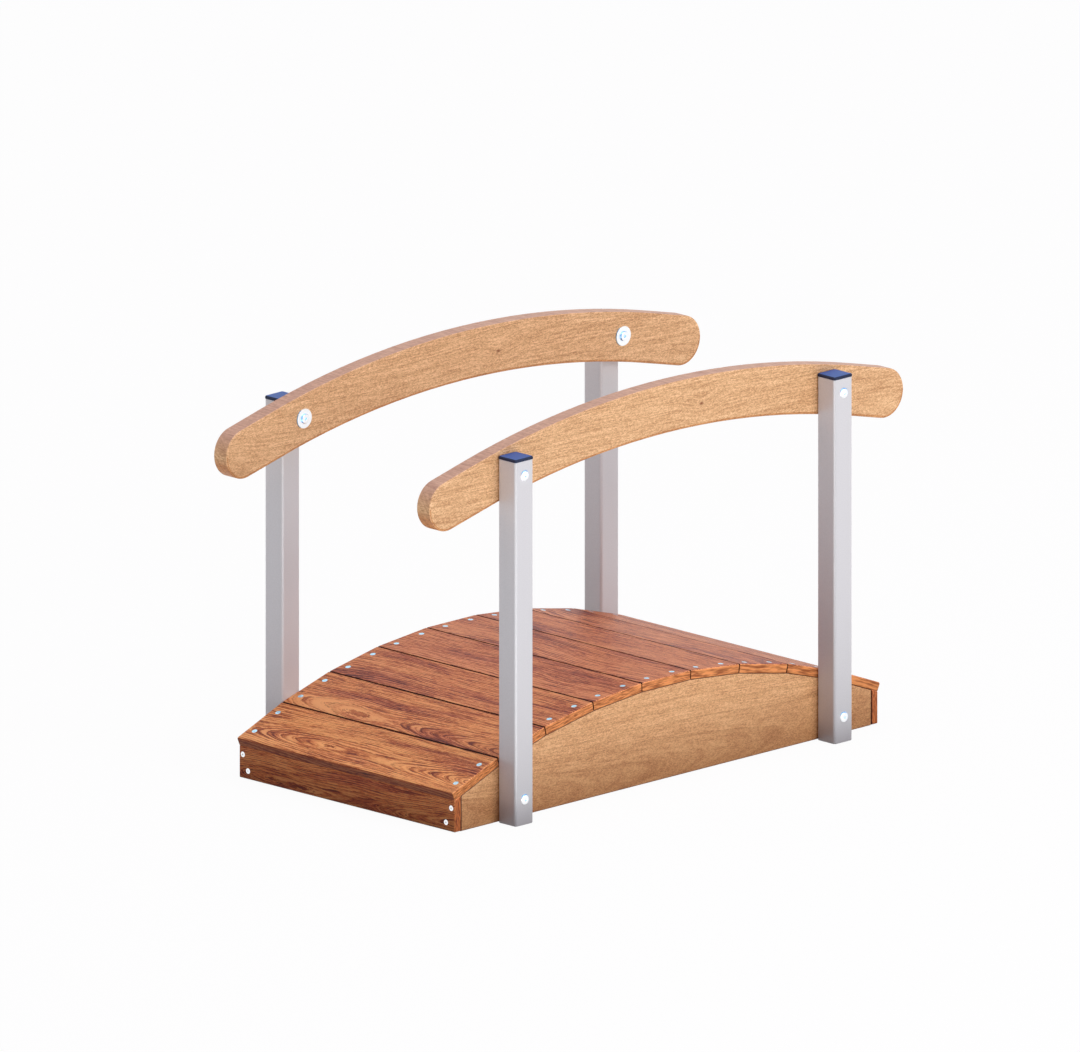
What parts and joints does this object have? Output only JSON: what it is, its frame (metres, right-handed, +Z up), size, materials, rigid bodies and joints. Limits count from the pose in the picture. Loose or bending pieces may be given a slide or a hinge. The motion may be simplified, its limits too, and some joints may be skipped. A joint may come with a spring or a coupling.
{
  "type": "moon bridge",
  "caption": "Small arched playground footbridge: mitred hardwood planks on arched timber stringers, square steel posts with plastic caps and arched timber handrails.",
  "frame": {"origin": "middle of the footprint, on the ground", "axes": "+X along the walk towards the back end, +Y to the left of the walk, +Z up"},
  "size_m": [1.32, 0.7, 0.8049],
  "materials": {
    "deck_hardwood": "oiled",
    "light_timber": "satin varnish",
    "post_steel": "satin",
    "cap_plastic": "moulded",
    "zinc_hardware": "zinc plated"
  },
  "bodies": {
    "root": {"left_stringer": "light_timber", "right_stringer": "light_timber", "deck_plank_1": "deck_hardwood", "deck_plank_2": "deck_hardwood", "deck_plank_3": "deck_hardwood", "deck_plank_4": "deck_hardwood", "deck_plank_5": "deck_hardwood", "deck_plank_6": "deck_hardwood", "deck_plank_7": "deck_hardwood", "deck_plank_8": "deck_hardwood", "deck_plank_9": "deck_hardwood", "front_end_board": "deck_hardwood", "back_end_board": "deck_hardwood", "front_left_post": "post_steel", "front_left_post_cap": "cap_plastic", "front_right_post": "post_steel", "front_right_post_cap": "cap_plastic", "back_left_post": "post_steel", "back_left_post_cap": "cap_plastic", "back_right_post": "post_steel", "back_right_post_cap": "cap_plastic", "left_handrail": "light_timber", "right_handrail": "light_timber"}
  },
  "joints": []
}
